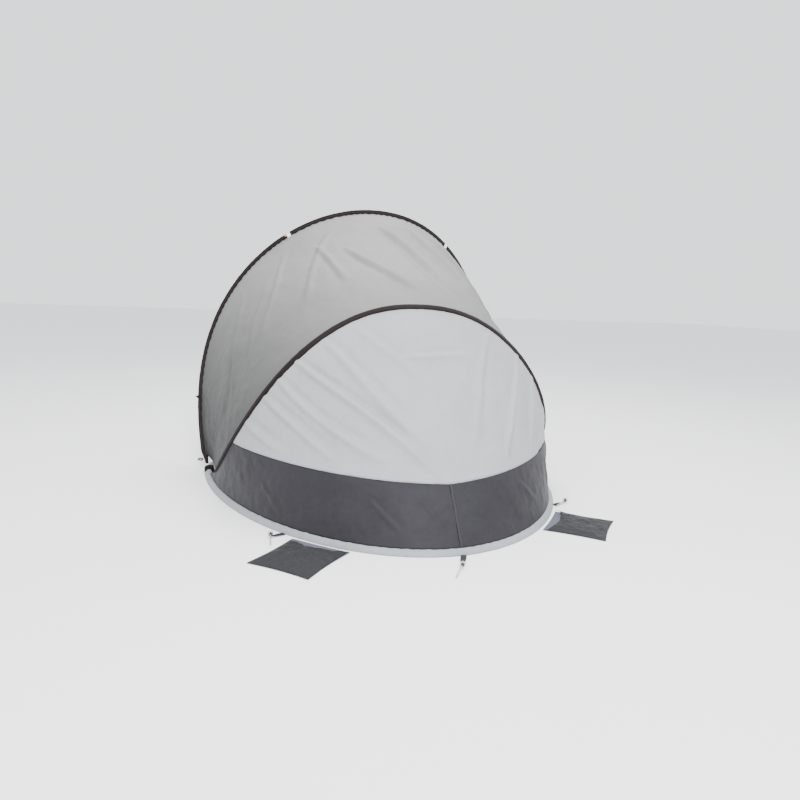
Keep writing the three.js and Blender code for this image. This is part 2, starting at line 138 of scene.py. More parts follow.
def front_floor_line(share):
    x, y = arch(share, HALF_WIDTH, FRONT_DEPTH, 0, FRONT_POWER)
    return np.stack([-x, -y, np.zeros_like(x)], -1)


def unit(v):
    return v / np.maximum(np.linalg.norm(v, axis=-1, keepdims=True), 1e-12)


def front_wide(share):
    """The way the front sleeve is broad: turned about its rod from the canopy's line."""
    along = unit(front_line(share + STEP) - front_line(share - STEP))
    wide = rear_line(share) - front_line(share)
    wide = unit(wide - (wide * along).sum(1, keepdims=True) * along)
    turn = math.radians(FRONT_SLEEVE_TURN)
    return wide * math.cos(turn) + np.cross(along, wide) * math.sin(turn)


def smooth(x, low, high):
    t = np.clip((x - low) / (high - low), 0, 1)
    return t * t * (3 - 2 * t)


def rear_wide(share):
    """The way the rear sleeve is broad: in line with its cloth high up, in the hoop's plane low down."""
    rear = rear_line(share)
    across = unit(unit(front_line(share) - rear) - unit(hem_line(share) - rear))
    turn = smooth(np.minimum(share, 1 - share), 0.12, 0.42)[:, None]
    along = unit(rear_line(share + STEP) - rear_line(share - STEP))
    lean = math.radians(REAR_ARCH["lean"])
    flat = np.cross(along, [0, math.cos(lean), -math.sin(lean)])
    return flat * (1 - turn) - across * turn


def upwards(share):
    return np.tile([0.0, 0.0, 1.0], (len(share), 1))


def tangents(points):
    return unit(np.gradient(points, axis=0))


def share_at_radius(line, radius):
    shares = np.linspace(0, 0.3, 3001)
    points = line(shares)
    return shares[np.argmax(np.hypot(points[:, 1], points[:, 2]) >= radius)]


def even_shares(line, start, end, steps):
    """Shares at equal lengths along a line."""
    shares = np.linspace(start, end, 2001)
    length = np.concatenate([[0], np.cumsum(np.linalg.norm(np.diff(line(shares), axis=0), axis=1))])
    return np.interp(np.linspace(0, length[-1], steps + 1), length, shares), length[-1]


FRONT_ARCH_LENGTH = even_shares(front_line, 0, 1, 10)[1]


# ---- noise and folds ----
def ripple(points, scale, seed):
    """Smooth noise about 0 at each point; scale is the size of its bumps in metres."""
    flat = points.reshape(-1, 3) / scale
    shift = Vector((seed, 2 * seed, 3 * seed))
    values = [noise.fractal(Vector(p) + shift, NOISE_FALL, NOISE_STEP, NOISE_OCTAVES) for p in flat]
    return np.array(values).reshape(points.shape[:-1])


def fold(u, v, start, end, width, height):
    """A soft ridge from start to end on a panel, in metres along and across it."""
    start, end = np.array(start), np.array(end)
    way = end - start
    length = np.linalg.norm(way)
    along = ((u - start[0]) * way[0] + (v - start[1]) * way[1]) / length
    across = ((u - start[0]) * -way[1] + (v - start[1]) * way[0]) / length
    across = across + 0.012 * np.sin(along * 9 + start[0] * 20)
    t = np.clip(along / length, -0.3, 1.3)
    taper = np.clip(1 - (2 * t - 1) ** 4, 0, 1)
    spread = width * (0.7 + 0.6 * np.clip(t, 0, 1))
    ridge = np.exp(-((across / spread) ** 2)) - 0.45 * np.exp(-(((across - 1.9 * spread) / spread) ** 2))
    return height * taper * ridge


# ---- meshes ----
def new_object(name, points, faces, material, uv=None, sewn=None):
    """A smooth mesh object; uv and sewn are its cloth coordinates, one row for each point."""
    mesh = bpy.data.meshes.new(name)
    mesh.from_pydata([tuple(p) for p in points], [], faces)
    mesh.update()
    obj = bpy.data.objects.new(name, mesh)
    bpy.context.collection.objects.link(obj)
    if uv is not None:
        loops = np.empty(len(mesh.loops), int)
        mesh.loops.foreach_get("vertex_index", loops)
        for layer_name, values in (("Metres", uv), ("Sewn", sewn)):
            layer = mesh.uv_layers.new(name=layer_name)
            layer.data.foreach_set("uv", np.asarray(values, np.float32)[loops].ravel())
    for polygon in mesh.polygons:
        polygon.use_smooth = True
    mesh.materials.append(material)
    return obj


def grid_faces(rows, columns, closed=False):
    faces = []
    last = columns if closed else columns - 1
    for i in range(rows - 1):
        for j in range(last):
            k = (j + 1) % columns
            faces.append((i * columns + j, i * columns + k, (i + 1) * columns + k, (i + 1) * columns + j))
    return faces


def grid_lengths(grid):
    """Distances in metres along the rows and columns of a grid, for its cloth coordinates."""
    u = np.zeros(grid.shape[:2])
    v = np.zeros(grid.shape[:2])
    middle = grid[:, grid.shape[1] // 2]
    u[1:] = np.cumsum(np.linalg.norm(np.diff(middle, axis=0), axis=1))[:, None]
    v[:, 1:] = np.cumsum(np.linalg.norm(np.diff(grid, axis=1), axis=2), axis=1)
    return u, v


def grid_normals(grid):
    normals = np.cross(np.gradient(grid, axis=0), np.gradient(grid, axis=1))
    return unit(normals)


def thicken(obj, thickness):
    solid = obj.modifiers.new("thickness", "SOLIDIFY")
    solid.thickness = thickness
    solid.offset = 0


def cloth_panel(name, grid, material, nodes, sewn_sides, thickness=CLOTH_THICKNESS):
    """A sheet on a grid of points, with its cloth coordinates and the distance to its sewn edges."""
    u, v = grid_lengths(grid)
    edges = []
    if "v" in sewn_sides:
        edges += [v, v[:, -1:] - v]
    if "u" in sewn_sides:
        edges += [u, u[-1:] - u]
    nearest = np.min(np.broadcast_arrays(*edges), axis=0)
    uv = np.stack([u, v], -1).reshape(-1, 2)
    sewn = np.stack([u if "u" not in sewn_sides else u + v, nearest], -1).reshape(-1, 2)
    rows, columns = grid.shape[:2]
    obj = new_object(name, grid.reshape(-1, 3), grid_faces(rows, columns), material, uv, sewn)
    thicken(obj, thickness)
    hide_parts(*nodes)
    return obj


def oval(width, height):
    """The outline of a flattened sleeve."""
    turn = (np.arange(SLEEVE_SIDES) + 0.5) / SLEEVE_SIDES * 2 * math.pi
    x = height / 2 * np.sign(np.cos(turn)) * np.abs(np.cos(turn)) ** SLEEVE_SQUARENESS
    y = width / 2 * np.sign(np.sin(turn)) * np.abs(np.sin(turn)) ** SLEEVE_SQUARENESS
    return np.stack([x, y], -1)


def sweep(name, line, wide, start, end, steps, outline, material, shape):
    """A closed tube of the outline along a line; shape(rings, centres, shares) moves its points."""
    shares, length = even_shares(line, start, end, steps)
    centres = line(shares)
    along = tangents(centres)
    broad = wide(shares)
    broad = unit(broad - (broad * along).sum(1, keepdims=True) * along)
    thin = np.cross(broad, along)
    rings = centres[:, None] + thin[:, None] * outline[None, :, :1] + broad[:, None] * outline[None, :, 1:]
    rings = shape(rings, centres[:, None], shares)
    rows, columns = rings.shape[:2]
    faces = grid_faces(rows, columns, closed=True)
    faces += [tuple(range(columns))[::-1], tuple(range((rows - 1) * columns, rows * columns))]
    around = np.concatenate([[0], np.cumsum(np.linalg.norm(np.diff(outline, axis=0), axis=1))])
    u = np.linspace(0, length, rows)[:, None] + 0 * around[None]
    v = np.broadcast_to(around, u.shape)
    edge = np.broadcast_to(outline[None, :, 1] + SLEEVE_WIDTH / 2, u.shape)
    uv = np.stack([u, v], -1).reshape(-1, 2)
    sewn = np.stack([u, edge], -1).reshape(-1, 2)
    return new_object(name, rings.reshape(-1, 3), faces, material, uv, sewn)


# ---- materials ----
class Nodes:
    """Short hand for building one procedural material."""

    def __init__(self, name):
        self.material = bpy.data.materials.new(name)
        self.material.use_nodes = True
        self.tree = self.material.node_tree
        self.shader = self.tree.nodes["Principled BSDF"]

    def add(self, kind, inputs=None, **settings):
        node = self.tree.nodes.new(kind)
        for key, value in settings.items():
            setattr(node, key, value)
        for key, value in (inputs or {}).items():
            if isinstance(value, bpy.types.NodeSocket):
                self.tree.links.new(value, node.inputs[key])
            else:
                node.inputs[key].default_value = value
        return node

    def math(self, operation, a, b=0.0):
        return self.add("ShaderNodeMath", {0: a, 1: b}, operation=operation).outputs[0]

    def link(self, source, target):
        self.tree.links.new(source, target)


def rgba(colour):
    return (*colour, 1.0)


def cloth_material(name, colour, vary=0.08, rough=0.75, weave=0.0011, bump=0.25, sheen=0.04,
                   stitch_at=0.004, stitch_colour=None, patches=0.35, shade=None):
    """Woven cloth: colour that drifts, a fine weave, and a row of stitches by its sewn edges."""
    n = Nodes(name)
    place = n.add("ShaderNodeTexCoord").outputs["Object"]
    metres = n.add("ShaderNodeUVMap", uv_map="Metres").outputs["UV"]
    sewn = n.add("ShaderNodeUVMap", uv_map="Sewn").outputs["UV"]
    dark = rgba([c * (1 - vary) for c in colour])
    light = rgba([min(1, c * (1 + vary)) for c in colour])
    cloud = n.add("ShaderNodeTexNoise", {"Vector": place, "Scale": 5.0, "Detail": 4.0})
    fine = n.add("ShaderNodeTexNoise", {"Vector": place, "Scale": 70.0, "Detail": 3.0})
    drift = n.math("ADD", n.math("MULTIPLY", cloud.outputs["Fac"], 1 - patches),
                   n.math("MULTIPLY", fine.outputs["Fac"], patches))
    tone = n.add("ShaderNodeMapRange", {0: drift, 1: 0.36, 2: 0.64})
    mixed = n.add("ShaderNodeMix", {0: tone.outputs[0], 6: dark, 7: light}, data_type="RGBA")
    wave_scale = math.pi / 10 / weave
    warp = n.add("ShaderNodeTexWave", {"Vector": metres, "Scale": wave_scale}, bands_direction="X")
    weft = n.add("ShaderNodeTexWave", {"Vector": metres, "Scale": wave_scale}, bands_direction="Y")
    threads = n.math("MAXIMUM", warp.outputs["Fac"], weft.outputs["Fac"])

    parts = n.add("ShaderNodeSeparateXYZ", {0: sewn})
    off = n.math("ABSOLUTE", n.math("SUBTRACT", parts.outputs["Y"], stitch_at))
    row = n.math("LESS_THAN", off, STITCH_HALF_WIDTH)
    beat = n.math("FRACT", n.math("MULTIPLY", parts.outputs["X"], 1 / STITCH_PITCH))
    stitch = n.math("MULTIPLY", row, n.math("LESS_THAN", beat, STITCH_SHARE))
    thread = rgba(stitch_colour or [c * 0.55 for c in colour])
    final = n.add("ShaderNodeMix", {0: stitch, 6: mixed.outputs[2], 7: thread}, data_type="RGBA")
    tint = final.outputs[2]
    # painted shade: when given, a ramp by height darkens the colour low down
    if shade:
        tint = painted_shade_by_height(n, place, tint, shade)
    n.link(tint, n.shader.inputs["Base Color"])

    height = n.math("ADD", n.math("MULTIPLY", threads, 0.5), n.math("MULTIPLY", stitch, 1.4))
    height = n.math("ADD", height, n.math("MULTIPLY", fine.outputs["Fac"], 0.8))
    bumped = n.add("ShaderNodeBump", {"Strength": bump, "Distance": 0.0006, "Height": height})
    n.link(bumped.outputs["Normal"], n.shader.inputs["Normal"])
    worn = n.add("ShaderNodeMapRange", {0: fine.outputs["Fac"], 3: rough - 0.1, 4: min(1, rough + 0.1)})
    n.link(worn.outputs[0], n.shader.inputs["Roughness"])
    n.shader.inputs["Sheen Weight"].default_value = sheen
    n.shader.inputs["Sheen Roughness"].default_value = 0.5
    n.shader.inputs["Specular IOR Level"].default_value = 0.12
    return n.material


def painted_shade_by_height(n, place, tint, stops):
    """Painted shade: multiplies the colour darker low down and lighter towards the top, for how the light
    falls on the cloth.
    """
    height = n.add("ShaderNodeSeparateXYZ", {0: place}).outputs["Z"]
    ramp = n.add("ShaderNodeValToRGB", {0: height})
    elements = ramp.color_ramp.elements
    while len(elements) < len(stops):
        elements.new(0.5)
    for element, (level, value) in zip(elements, stops):
        element.position = level
        element.color = (value, value, value, 1)
    return n.add("ShaderNodeMix", {0: 1.0, 6: tint, 7: ramp.outputs[0]}, data_type="RGBA",
                 blend_type="MULTIPLY").outputs[2]


def metal_material(name, colour, rough=0.35, metallic=1.0):
    n = Nodes(name)
    place = n.add("ShaderNodeTexCoord").outputs["Object"]
    grain = n.add("ShaderNodeTexNoise", {"Vector": place, "Scale": 400.0, "Detail": 4.0})
    spots = n.add("ShaderNodeTexNoise", {"Vector": place, "Scale": 90.0, "Detail": 3.0})
    mixed = n.add("ShaderNodeMix", {0: spots.outputs["Fac"], 6: rgba([c * 0.7 for c in colour]),
                                    7: rgba([min(1, c * 1.2) for c in colour])}, data_type="RGBA")
    n.link(mixed.outputs[2], n.shader.inputs["Base Color"])
    worn = n.add("ShaderNodeMapRange", {0: grain.outputs["Fac"], 3: rough - 0.1, 4: rough + 0.2})
    n.link(worn.outputs[0], n.shader.inputs["Roughness"])
    bumped = n.add("ShaderNodeBump", {"Strength": 0.15, "Distance": 0.0002,
                                      "Height": grain.outputs["Fac"]})
    n.link(bumped.outputs["Normal"], n.shader.inputs["Normal"])
    n.shader.inputs["Metallic"].default_value = metallic
    return n.material


# the canopy's colour carries painted shade, darker towards the bottom and lighter towards the top
CANOPY = cloth_material("canopy_cloth", (0.225, 0.225, 0.219), vary=0.05, rough=0.6, bump=0.15,
                        shade=((0.05, 0.03), (0.22, 0.10), (0.50, 0.40), (0.88, 0.90)))
PANEL = cloth_material("panel_cloth", (0.30, 0.308, 0.317), vary=0.04, rough=0.55, bump=0.15)
BAND = cloth_material("band_cloth", (0.021, 0.020, 0.024), vary=0.14, rough=0.6, bump=0.2, sheen=0.05)
SLEEVE = cloth_material("sleeve_tape", (0.011, 0.0075, 0.0075), vary=0.15, rough=0.85, weave=0.0016,
                        bump=0.5, stitch_at=0.0025, stitch_colour=(0.05, 0.042, 0.042), sheen=0.05)
CORNER = cloth_material("corner_tape", (0.008, 0.0055, 0.0055), vary=0.2, rough=0.85, weave=0.0016,
                        bump=0.5, sheen=0.02)
SKIRT = cloth_material("skirt_cloth", (0.245, 0.262, 0.282), vary=0.07, rough=0.6, bump=0.3)
SHEET = cloth_material("groundsheet_cloth", (0.14, 0.147, 0.154), vary=0.08, rough=0.5, weave=0.002,
                       bump=0.4)
WEBBING = cloth_material("webbing", (0.022, 0.024, 0.030), vary=0.2, rough=0.8, weave=0.0022, bump=0.8,
                         sheen=0.05)
POCKET = cloth_material("pocket_cloth", (0.016, 0.016, 0.018), vary=0.12, rough=0.55, bump=0.2, sheen=0.05)
LINING = cloth_material("pocket_lining", (0.085, 0.093, 0.12), vary=0.08, rough=0.6, bump=0.2)
WHITE = cloth_material("white_tape", (0.85, 0.85, 0.84), vary=0.05, rough=0.8, weave=0.0016, bump=0.5)
CORD = cloth_material("ochre_cord", (0.55, 0.39, 0.16), vary=0.25, rough=0.8, weave=0.0012, bump=0.9)
STEEL = metal_material("peg_steel", (0.62, 0.60, 0.53), rough=0.45, metallic=0.75)
ROD = metal_material("spring_rod", (0.08, 0.08, 0.085), rough=0.4)
CRIMP = metal_material("crimp", (0.5, 0.52, 0.54), rough=0.35)
FLOOR = Nodes("studio_floor").material


def paint_node(node, material):
    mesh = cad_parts[node].data
    mesh.materials.clear()
    mesh.materials.append(material)


# ---- cloth panels ----
def ruled(lower, upper, shares, levels, columns):
    """Grid of points on the straight lines between two edges."""
    low, high = levels(shares)
    level = low[:, None] + (high - low)[:, None] * np.linspace(0, 1, columns)[None]
    a, b = lower(shares), upper(shares)
    return a[:, None] * (1 - level[..., None]) + b[:, None] * level[..., None], level


def margin(line, other, shares):
    """Share of a ruling that lies inside a sleeve, measured square to the hoop."""
    centre = line(shares)
    way = other(shares) - centre
    length = np.linalg.norm(way, axis=1)
    along = unit(line(shares + STEP) - line(shares - STEP))
    square = np.linalg.norm(np.cross(unit(way), along), axis=1)
    return TUCK / square / length


def fading(level):
    """1 over the middle of a panel and 0 at its held edges."""
    return np.clip(1 - (2 * level - 1) ** 6, 0, 1)


def make_canopy():
    start = max(share_at_radius(rear_line, CANOPY_REAR_START),
                share_at_radius(front_line, CANOPY_FRONT_START))
    shares = np.linspace(start, 1 - start, 330)

    def levels(s):
        return margin(front_line, rear_line, s), 1 - margin(rear_line, front_line, s)

    flat, level = ruled(front_line, rear_line, shares, levels, 90)
    u, v = grid_lengths(flat)
    folds = [
        ((1.40, 0.02), (1.72, 0.52), 0.016, 0.0075),
        ((1.28, 0.10), (1.55, 0.60), 0.018, 0.0080),
        ((1.50, 0.00), (1.95, 0.42), 0.014, 0.0060),
        ((1.12, 0.25), (1.36, 0.66), 0.014, 0.0060),
        ((1.00, 0.18), (1.10, 0.52), 0.012, 0.0045),
        ((1.62, 0.05), (2.10, 0.45), 0.015, 0.0060),
        ((1.10, 0.10), (0.88, 0.56), 0.014, 0.0045),
        ((0.90, 0.10), (0.64, 0.60), 0.015, 0.0045),
        ((1.90, 0.05), (2.35, 0.50), 0.016, 0.0060),
        ((0.66, 0.10), (0.40, 0.60), 0.016, 0.0040),
        ((0.78, 0.24), (0.52, 0.62), 0.010, 0.0035),
        ((2.20, 0.10), (2.60, 0.55), 0.018, 0.0055),
    ]
    lift = CANOPY_FOLD_STRENGTH * sum(fold(u, v, *f) for f in folds)
    lift = lift - 0.010 * (1 - (2 * level - 1) ** 2)
    lift = lift + 0.0045 * ripple(flat, 0.16, 3.0) + 0.0022 * ripple(flat * [1, 0.45, 1], 0.045, 8.0)
    puckers = 0.0012 * np.sin(u * 2 * math.pi / 0.028 + 3 * ripple(flat, 0.1, 5.0))
    lift = lift * fading(level) + puckers * np.exp(-np.minimum(v, v[:, -1:] - v) / 0.03)
    grid = flat + grid_normals(flat) * (-lift[..., None] * outward_sign(flat))
    canopy = cloth_panel("canopy_sheet", grid, CANOPY, ["canopy"], "v")
    bend_by_level(canopy)


def outward_sign(grid):
    """-1 or 1, so that a lift along the grid's normals goes away from the shelter's middle."""
    middle = grid[grid.shape[0] // 2, grid.shape[1] // 2]
    normal = grid_normals(grid)[grid.shape[0] // 2, grid.shape[1] // 2]
    inside = np.array([0, 0.3, 0.3])
    return -1.0 if np.dot(normal, middle - inside) > 0 else 1.0


def bend_by_level(obj):
    """A panel sewn to two bodies: its transform is baked into its mesh.
    """
    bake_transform(obj)


def seam_level(shares):
    height = SEAM_HEIGHT + SEAM_RISE * np.abs(2 * shares - 1)
    top = 1 - margin(rear_line, hem_line, shares)
    reach = np.maximum(0.001, rear_line(shares)[:, 2] - HEM_HEIGHT)
    return np.minimum(top, (height - HEM_HEIGHT) / reach)


def make_rear_panel():
    shares = np.linspace(*REAR_PANEL_SPAN, 260)

    def levels(s):
        low = seam_level(s)
        return low, np.maximum(low + TOP_MARGIN, 1 - margin(rear_line, hem_line, s))

    flat, level = ruled(hem_line, rear_line, shares, levels, 90)
    u, v = grid_lengths(flat)
    across = u - u[len(u) // 2]
    folds = [
        ((-0.60, 0.50), (-0.02, 0.02), 0.014, 0.0075),
        ((-0.48, 0.60), (-0.08, 0.16), 0.016, 0.0055),
        ((-0.75, 0.42), (-0.20, 0.05), 0.014, 0.0055),
        ((-0.86, 0.34), (-0.36, 0.04), 0.013, 0.0050),
        ((-0.98, 0.24), (-0.55, 0.02), 0.013, 0.0045),
        ((-0.28, 0.62), (0.02, 0.30), 0.016, 0.0035),
        ((0.46, 0.55), (0.26, 0.03), 0.013, 0.0055),
        ((0.62, 0.45), (0.42, 0.03), 0.013, 0.0055),
        ((0.78, 0.36), (0.60, 0.03), 0.012, 0.0045),
        ((0.30, 0.62), (0.10, 0.10), 0.014, 0.0030),
        ((-0.10, 0.44), (0.14, 0.46), 0.010, 0.0030),
    ]
    lift = PANEL_FOLD_STRENGTH * sum(fold(across, v, *f) for f in folds)
    lift = lift + 0.0040 * ripple(flat, 0.13, 21.0) + 0.0016 * ripple(flat, 0.035, 28.0)
    lift = lift * fading(level)
    crease = 0.0016 * np.exp(-((across / 0.004) ** 2))
    grid = flat - grid_normals(flat) * ((lift + crease)[..., None] * outward_sign(flat))
    panel = cloth_panel("rear_panel_sheet", grid, PANEL, ["rear_panel"], "v")
    bend_by_level(panel)


def make_band(side, folds, seed):
    shares = np.linspace(*BAND_SPANS[side], 170)

    def levels(s):
        return s * 0, seam_level(s)

    flat, level = ruled(hem_line, rear_line, shares, levels, 40)
    u, v = grid_lengths(flat)
    lift = sum(fold(u, v, *f) for f in folds)
    lift = lift + 0.0035 * ripple(flat, 0.12, seed) + 0.0016 * ripple(flat, 0.03, seed + 5)
    row = level / np.maximum(level[:, -1:], 1e-6)
    lift = lift * fading(row)
    grid = flat - grid_normals(flat) * (lift[..., None] * outward_sign(flat))
    band = cloth_panel(f"rear_band_{side}_sheet", grid, BAND, [f"rear_band_{side}"], "uv")
    bend_by_level(band)


def make_bands():
    left = [
        ((1.02, 0.16), (1.10, 0.05), 0.008, 0.0030),
        ((1.16, 0.17), (1.24, 0.03), 0.008, 0.0030),
        ((0.90, 0.15), (0.84, 0.04), 0.009, 0.0028),
        ((1.28, 0.16), (1.38, 0.08), 0.008, 0.0030),
        ((0.55, 0.12), (0.66, 0.03), 0.010, 0.0025),
    ]
    right = [
        ((0.30, 0.16), (0.44, 0.06), 0.009, 0.0030),
        ((0.62, 0.18), (0.70, 0.04), 0.010, 0.0035),
        ((0.80, 0.20), (0.86, 0.03), 0.010, 0.0040),
        ((0.98, 0.20), (0.94, 0.03), 0.010, 0.0035),
        ((1.12, 0.18), (1.20, 0.04), 0.010, 0.0035),
    ]
    make_band("left", left, 41.0)
    make_band("right", right, 52.0)


def make_seam_tape():
    """The flat-felled seam that joins the two band panels at the back."""
    shares = np.linspace(*BAND_SEAM_SPAN, 7)

    def levels(s):
        return s * 0, seam_level(s)

    flat, level = ruled(hem_line, rear_line, shares, levels, 40)
    crown = 1 - np.linspace(-1, 1, 7)[:, None] ** 2
    lift = 0.0014 + 0.0010 * crown + 0.0006 * ripple(flat, 0.02, 61.0)
    grid = flat - grid_normals(flat) * (lift[..., None] * outward_sign(flat))
    colour = cloth_material("seam_cloth", (0.036, 0.035, 0.040), vary=0.1, bump=0.3, stitch_at=0.0022)
    tape = cloth_panel("band_seam", grid, colour, ["band_seam_tape"], "u")
    bend_by_level(tape)


# ---- sleeves ----
def crumple(amount, seed, gathered=False):
    """Moves a sleeve's points in and out; gathered tape narrows towards the corners."""
    def shape(rings, centres, _shares):
        out = unit(rings - centres)
        push = amount * ripple(rings, 0.03, seed) + amount * 0.6 * ripple(rings, 0.010, seed + 4)
        if gathered:
            reach = np.hypot(centres[..., 1], centres[..., 2])
            width = 0.45 + 0.55 * smooth(reach, 0.040, 0.110)
            rings = centres + (rings - centres) * width[..., None]
        return rings + out * push[..., None]
    return shape


def make_sleeves():
    outline = oval(FRONT_SLEEVE_WIDTH, SLEEVE_HEIGHT)
    gap = (STRAP_GAP - 0.001) / FRONT_ARCH_LENGTH
    start = share_at_radius(front_line, FRONT_SLEEVE_START)
    stretches = {
        "left": (start, STRAP_PLACE - gap),
        "top": (STRAP_PLACE + gap, 1 - STRAP_PLACE - gap),
        "right": (1 - STRAP_PLACE + gap, 1 - start),
    }
    for number, (name, (low, high)) in enumerate(stretches.items()):
        steps = int((high - low) * 700)
        sleeve = sweep(f"front_sleeve_{name}", front_line, front_wide, low, high, steps, outline,
                       SLEEVE, crumple(0.0005, 70.0 + number, gathered=True))
        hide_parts(f"front_arch_sleeve_{name}")
        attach(sleeve, "front_hoop")
    start = share_at_radius(rear_line, REAR_SLEEVE_START)
    outline = oval(1.1 * SLEEVE_WIDTH, SLEEVE_HEIGHT)
    sleeve = sweep("rear_sleeve", rear_line, rear_wide, start, 1 - start, 620, outline, SLEEVE,
                   crumple(0.0006, 80.0))
    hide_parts("rear_arch_sleeve")
    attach(sleeve, "rear_hoop")


def skirt_outline():
    """Section of the floor sleeve: flat below, sloping out to the floor edge. x is inward."""
    top = [(-SKIRT_EDGE, 0.0006), (-0.0178, 0.0034), (-0.0125, 0.0098), (-0.0075, 0.0148),
           (-0.0022, 0.0174), (0.0026, 0.0172), (0.0078, 0.0138), (0.0112, 0.0085),
           (0.0120, 0.0030), (0.0112, 0.0004)]
    return np.array(top + [(0.002, 0.0002), (-0.009, 0.0002)])


def rear_floor_line(share):
    return hem_line(share, 0.0)


def pucker_skirt(rings, centres, shares):
    """Moves the skirt's points in and out above the ground, and keeps the rest flat."""
    push = 0.0011 * ripple(rings, 0.028, 90.0) + 0.0007 * np.sin(shares[:, None] * 420)
    high = np.clip(rings[..., 2:] / 0.006, 0, 1)
    out = unit(rings - centres)
    moved = rings + out * push[..., None] * high
    moved[..., 2] = np.maximum(moved[..., 2], 0.0002)
    return moved


def make_skirt():
    for name, line in (("rear", rear_floor_line), ("front", front_floor_line)):
        start = share_at_radius(line, SKIRT_START)
        skirt = sweep(f"{name}_skirt", line, upwards, start, 1 - start, 520, skirt_outline(), SKIRT,
                      pucker_skirt)
        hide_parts(f"{name}_floor_sleeve")
        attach(skirt, "base")


def make_groundsheet():
    """The floor of the shelter, lying between the two floor sleeves."""
    rows = np.linspace(-1, 1, 150)
    columns = np.linspace(-1, 1, 150)
    inset, side_inset, least_half = 0.016, 0.025, 0.02
    grid = np.zeros((len(rows), len(columns), 3))
    for i, row in enumerate(rows):
        depth, power = (REAR_DEPTH, REAR_POWER) if row > 0 else (FRONT_DEPTH, FRONT_POWER)
        y = row * (depth - inset)
        share = min(1.0, abs(row))
        half = (HALF_WIDTH - side_inset) * (1 - share ** power) ** (1 / power)
        grid[i] = np.stack([-columns * max(half, least_half), np.full(len(columns), y), columns * 0], -1)
    lift = 0.0012 + 0.0010 * np.abs(ripple(grid, 0.09, 33.0)) + 0.0004 * ripple(grid, 0.03, 35.0)
    grid[..., 2] = np.clip(lift, 0.0006, 0.0026)
    sheet = cloth_panel("groundsheet_cloth", grid, SHEET, ["groundsheet"], "v")
    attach(sheet, "base")


# ---- corners ----
def make_corners():
    for name, side in (("left", 1), ("right", -1)):
        low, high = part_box(f"corner_patch_{name}")
        middle = (low + high) / 2
        verts = []
        rows, columns = 26, 30
        for i in range(rows):
            tip = i / (rows - 1)
            x = low.x + (high.x - low.x) * tip
            round_off = (1 - (2 * tip - 1) ** 6) ** 0.5 * 0.94 + 0.02
            for j in range(columns):
                turn = math.pi * j / (columns - 1)
                radius = 1.2 * (high.z - low.z) * round_off
                verts.append((x, middle.y + radius * math.cos(turn), radius * math.sin(turn)))
        points = np.array(verts).reshape(rows, columns, 3)
        centre = np.array([middle.x, middle.y, 0.0])
        push = 0.0026 * ripple(points, 0.018, 101.0 + side) + 0.0014 * np.sin(points[..., 0] * 900)
        points = points + unit(points - centre) * push[..., None]
        points[..., 2] = np.maximum(points[..., 2], 0.0)
        uv = np.stack([points[..., 0], points[..., 1]], -1).reshape(-1, 2)
        faces = grid_faces(rows, columns, closed=True)
        faces += [tuple(range(columns)), tuple(range((rows - 1) * columns, rows * columns))[::-1]]
        patch = new_object(f"corner_{name}", points.reshape(-1, 3), faces, CORNER, uv, uv)
        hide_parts(f"corner_patch_{name}")
        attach(patch, "base")
        start, end = share_at_radius(rear_line, BOOT_START), share_at_radius(rear_line, BOOT_END)
        span = (start, end) if side > 0 else (1 - end, 1 - start)
        boot = sweep(f"boot_{name}", rear_line, rear_wide, *span, 40, oval(0.0225, 0.0100), CORNER,
                     crumple(0.0012, 111.0 + side))
        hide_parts(f"corner_boot_{name}")
        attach(boot, "base")


# ---- trims on the front arch ----
def make_straps():
    half = (STRAP_GAP + 0.001) / FRONT_ARCH_LENGTH
    for name, share in (("left", STRAP_PLACE), ("right", 1 - STRAP_PLACE)):
        strap = sweep(f"white_strap_{name}", front_line, front_wide, share - half, share + half, 16,
                      oval(0.0250, 0.0070), WHITE, crumple(0.0007, 121.0))
        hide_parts(f"strap_{name}")
        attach(strap, "front_hoop")


def make_knot():
    """An overhand knot of cord, where the frame has a plain ball."""
    low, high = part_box("cord_knot_left")
    outward = np.cross(front_wide(np.array([STRAP_PLACE]))[0], [0, 1.0, 0])
    centre = np.array((low + high) / 2) + unit(outward) * KNOT_OFFSET
    size = (high.x - low.x) / 2
    steps, sides, cord_radius = 90, 10, 0.0019
    turn = np.linspace(0, 2 * math.pi, steps, endpoint=False)
    path = np.stack([np.sin(turn) + 2 * np.sin(2 * turn), np.cos(turn) - 2 * np.cos(2 * turn),
                     -np.sin(3 * turn)], -1)
    path = centre + path / 3.0 * size * 0.80
    along = unit(np.roll(path, -1, 0) - np.roll(path, 1, 0))
    side = unit(np.cross(along, [0.2, 0.3, 1.0]))
    up = np.cross(along, side)
    around = np.arange(sides) / sides * 2 * math.pi
    ring = side[:, None] * np.cos(around)[None, :, None] + up[:, None] * np.sin(around)[None, :, None]
    points = path[:, None] + ring * cord_radius
    points = np.concatenate([points, points[:1]])
    u, v = np.meshgrid(np.arange(steps + 1) * 0.0006, around * 0.0015, indexing="ij")
    uv = np.stack([u, v], -1).reshape(-1, 2)
    faces = grid_faces(steps + 1, sides, closed=True)
    knot = new_object("cord_knot", points.reshape(-1, 3), faces, CORD, uv, uv)
    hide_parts("cord_knot_left")
    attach(knot, "front_hoop")


